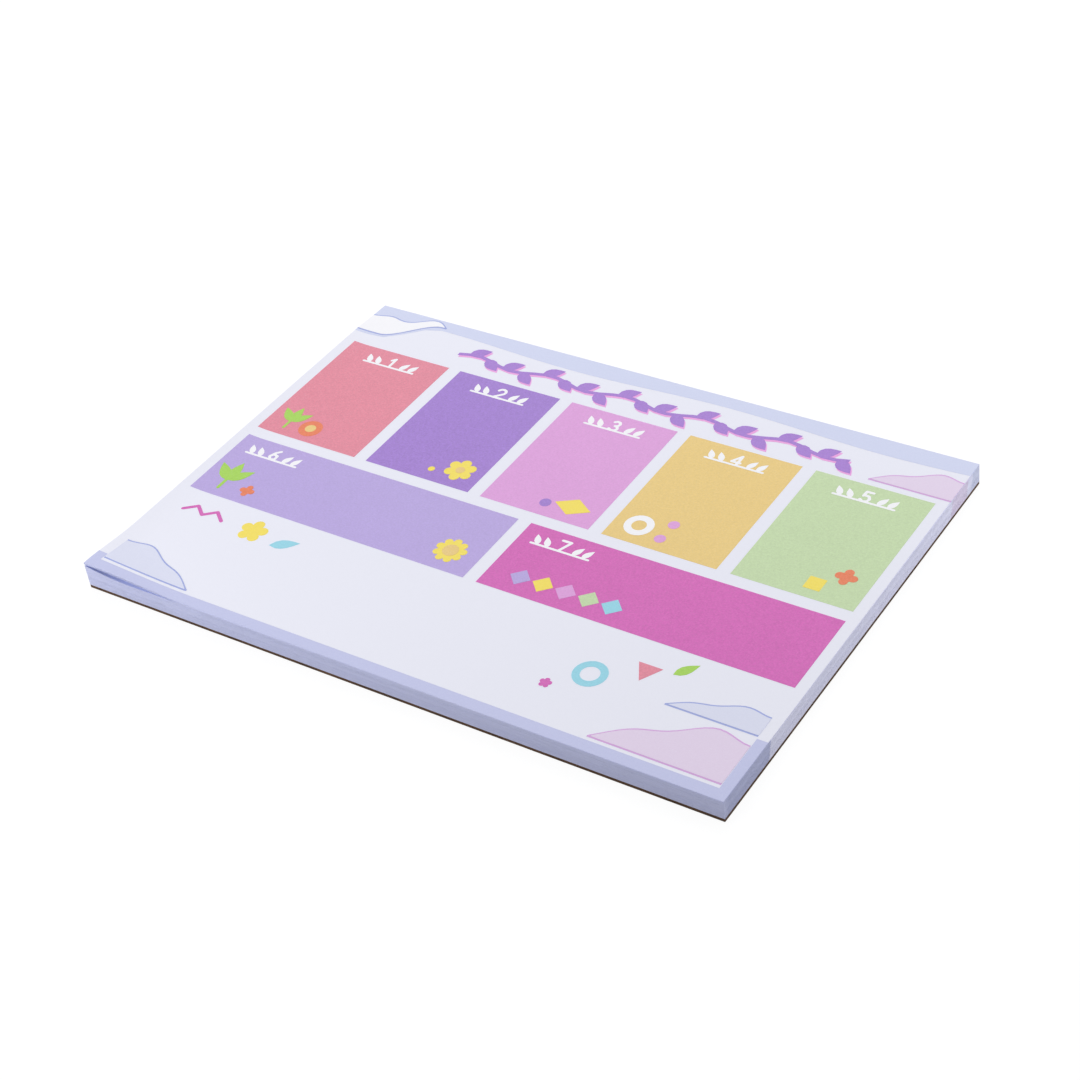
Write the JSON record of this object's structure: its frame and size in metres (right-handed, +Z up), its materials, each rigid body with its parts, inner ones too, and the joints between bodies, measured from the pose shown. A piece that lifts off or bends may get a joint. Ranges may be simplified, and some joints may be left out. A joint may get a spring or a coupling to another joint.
{
  "type": "weekly planner pad",
  "caption": "Landscape desk pad of printed weekly sheets glued along the back edge to a stiff backing board, with coloured day panels and a curled front corner.",
  "frame": {"origin": "middle of the footprint, on the underside of the backing board", "axes": "+Z up out of the printed face, +X along the long side to the reader's right, +Y towards the glued back edge"},
  "size_m": [0.297, 0.2104, 0.013],
  "materials": {
    "sheet_paper": "matte uncoated paper",
    "backing_board": "raw chipboard",
    "edge_glue": "dried padding glue",
    "ink_sky": "printed matte",
    "ink_band": "printed matte",
    "ink_coral": "printed matte",
    "ink_violet": "printed matte",
    "ink_orchid": "printed matte",
    "ink_amber": "printed matte",
    "ink_leaf_green": "printed matte",
    "ink_lilac": "printed matte",
    "ink_magenta": "printed matte",
    "ink_white": "bare paper in a printed field",
    "ink_purple": "printed matte",
    "ink_pink": "printed matte",
    "ink_yellow": "printed matte",
    "ink_lime": "printed matte",
    "ink_orange": "printed matte",
    "ink_periwinkle": "printed matte",
    "ink_pale_blue": "printed matte",
    "ink_pale_pink": "printed matte",
    "ink_rim_pink": "printed matte",
    "ink_aqua": "printed matte"
  },
  "bodies": {
    "root": {"backing_board": "backing_board", "bead_day2": "ink_yellow", "bead_notes": "ink_magenta", "clover_day5": "ink_orange", "clover_day6": "ink_orange", "day_header_1": "ink_white", "day_header_2": "ink_white", "day_header_3": "ink_white", "day_header_4": "ink_white", "day_header_5": "ink_white", "day_header_6": "ink_white", "day_header_7": "ink_white", "day_panel_1": "ink_coral", "day_panel_2": "ink_violet", "day_panel_3": "ink_orchid", "day_panel_4": "ink_amber", "day_panel_5": "ink_leaf_green", "day_panel_6": "ink_lilac", "day_panel_7": "ink_magenta", "disc_day1": "ink_orange", "disc_day3": "ink_violet", "disc_day4": "ink_orchid", "dot_day1": "ink_amber", "dot_day2": "ink_amber", "dot_day4": "ink_orchid", "dot_day6": "ink_amber", "flower_day2": "ink_yellow", "flower_notes": "ink_yellow", "front_band": "ink_band", "garland": "ink_purple", "garland_shade": "ink_pink", "glue_strip": "edge_glue", "hill_back_fill": "ink_pale_pink", "hill_back_rim": "ink_rim_pink", "hill_left_fill": "ink_pale_blue", "hill_left_rim": "ink_periwinkle", "hill_right_fill": "ink_pale_pink", "hill_right_rim": "ink_rim_pink", "hill_sky_fill": "ink_white", "hill_sky_rim": "ink_periwinkle", "hill_upper_fill": "ink_pale_blue", "hill_upper_rim": "ink_periwinkle", "leaf_notes": "ink_aqua", "leaf_right": "ink_lime", "lozenge_day3": "ink_yellow", "lozenge_day7_1": "ink_lilac", "lozenge_day7_2": "ink_yellow", "lozenge_day7_3": "ink_orchid", "lozenge_day7_4": "ink_leaf_green", "lozenge_day7_5": "ink_aqua", "notes_mark": "ink_magenta", "pennant_notes": "ink_coral", "ring_day4": "ink_white", "ring_notes": "ink_aqua", "rosette_day6": "ink_yellow", "sheet_block": "sheet_paper", "sky_band": "ink_sky", "sprig_day1": "ink_lime", "sprig_day6": "ink_lime", "tile_day5": "ink_yellow"}
  },
  "joints": []
}
